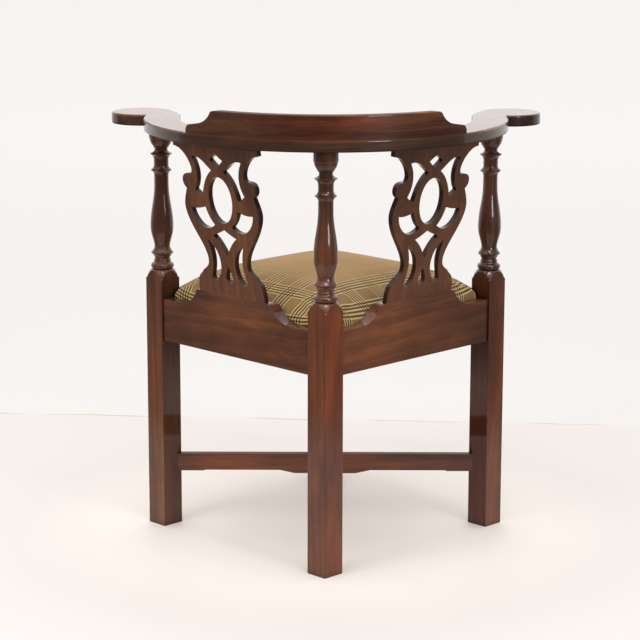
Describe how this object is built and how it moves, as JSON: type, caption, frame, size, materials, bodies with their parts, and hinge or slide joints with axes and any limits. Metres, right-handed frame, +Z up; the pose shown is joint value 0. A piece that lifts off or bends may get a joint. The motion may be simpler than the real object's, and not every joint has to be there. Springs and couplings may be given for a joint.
{
  "type": "corner chair",
  "caption": "Corner chair with pierced splats, turned posts, curved flat arms with a raised crest, crossed stretchers and a lift-out upholstered seat.",
  "frame": {"origin": "on the floor under the middle of the square seat", "axes": "+Z up, -Y towards the front corner leg, +Y towards the back post, +X towards the sitter's left"},
  "size_m": [0.804, 0.671, 0.8205],
  "materials": {
    "mahogany": "polished",
    "block_wood": "raw",
    "seat_frame_wood": "raw",
    "screw_steel": "satin",
    "tack_steel": "blued",
    "webbing_jute": "woven",
    "hessian": "woven",
    "hair": "matte",
    "plaid": "woven"
  },
  "bodies": {
    "chair_frame": {"back_post": "mahogany", "left_post": "mahogany", "right_post": "mahogany", "front_leg": "mahogany", "back_left_seat_rail": "mahogany", "back_right_seat_rail": "mahogany", "front_left_seat_rail": "mahogany", "front_right_seat_rail": "mahogany", "side_stretcher": "mahogany", "front_to_back_stretcher": "mahogany", "left_splat": "mahogany", "right_splat": "mahogany", "left_arm": "mahogany", "right_arm": "mahogany", "crest_rail": "mahogany", "back_corner_block": "block_wood", "left_corner_block": "block_wood", "right_corner_block": "block_wood", "front_corner_block": "block_wood", "crest_screws": "screw_steel", "block_screws": "screw_steel"},
    "lift_out_seat": {"seat_frame_back_left": "seat_frame_wood", "seat_frame_back_right": "seat_frame_wood", "seat_frame_front_left": "seat_frame_wood", "seat_frame_front_right": "seat_frame_wood", "webbing_under": "webbing_jute", "webbing_across": "webbing_jute", "webbing_tacks": "tack_steel", "hessian": "hessian", "stuffing": "hair", "seat_cover": "plaid", "cover_tacks": "tack_steel"}
  },
  "joints": [
    {"name": "seat_lift", "type": "slide", "parent": "chair_frame", "child": "lift_out_seat", "axis": [0, 0, 1], "range_m": [0, 0.2]}
  ]
}
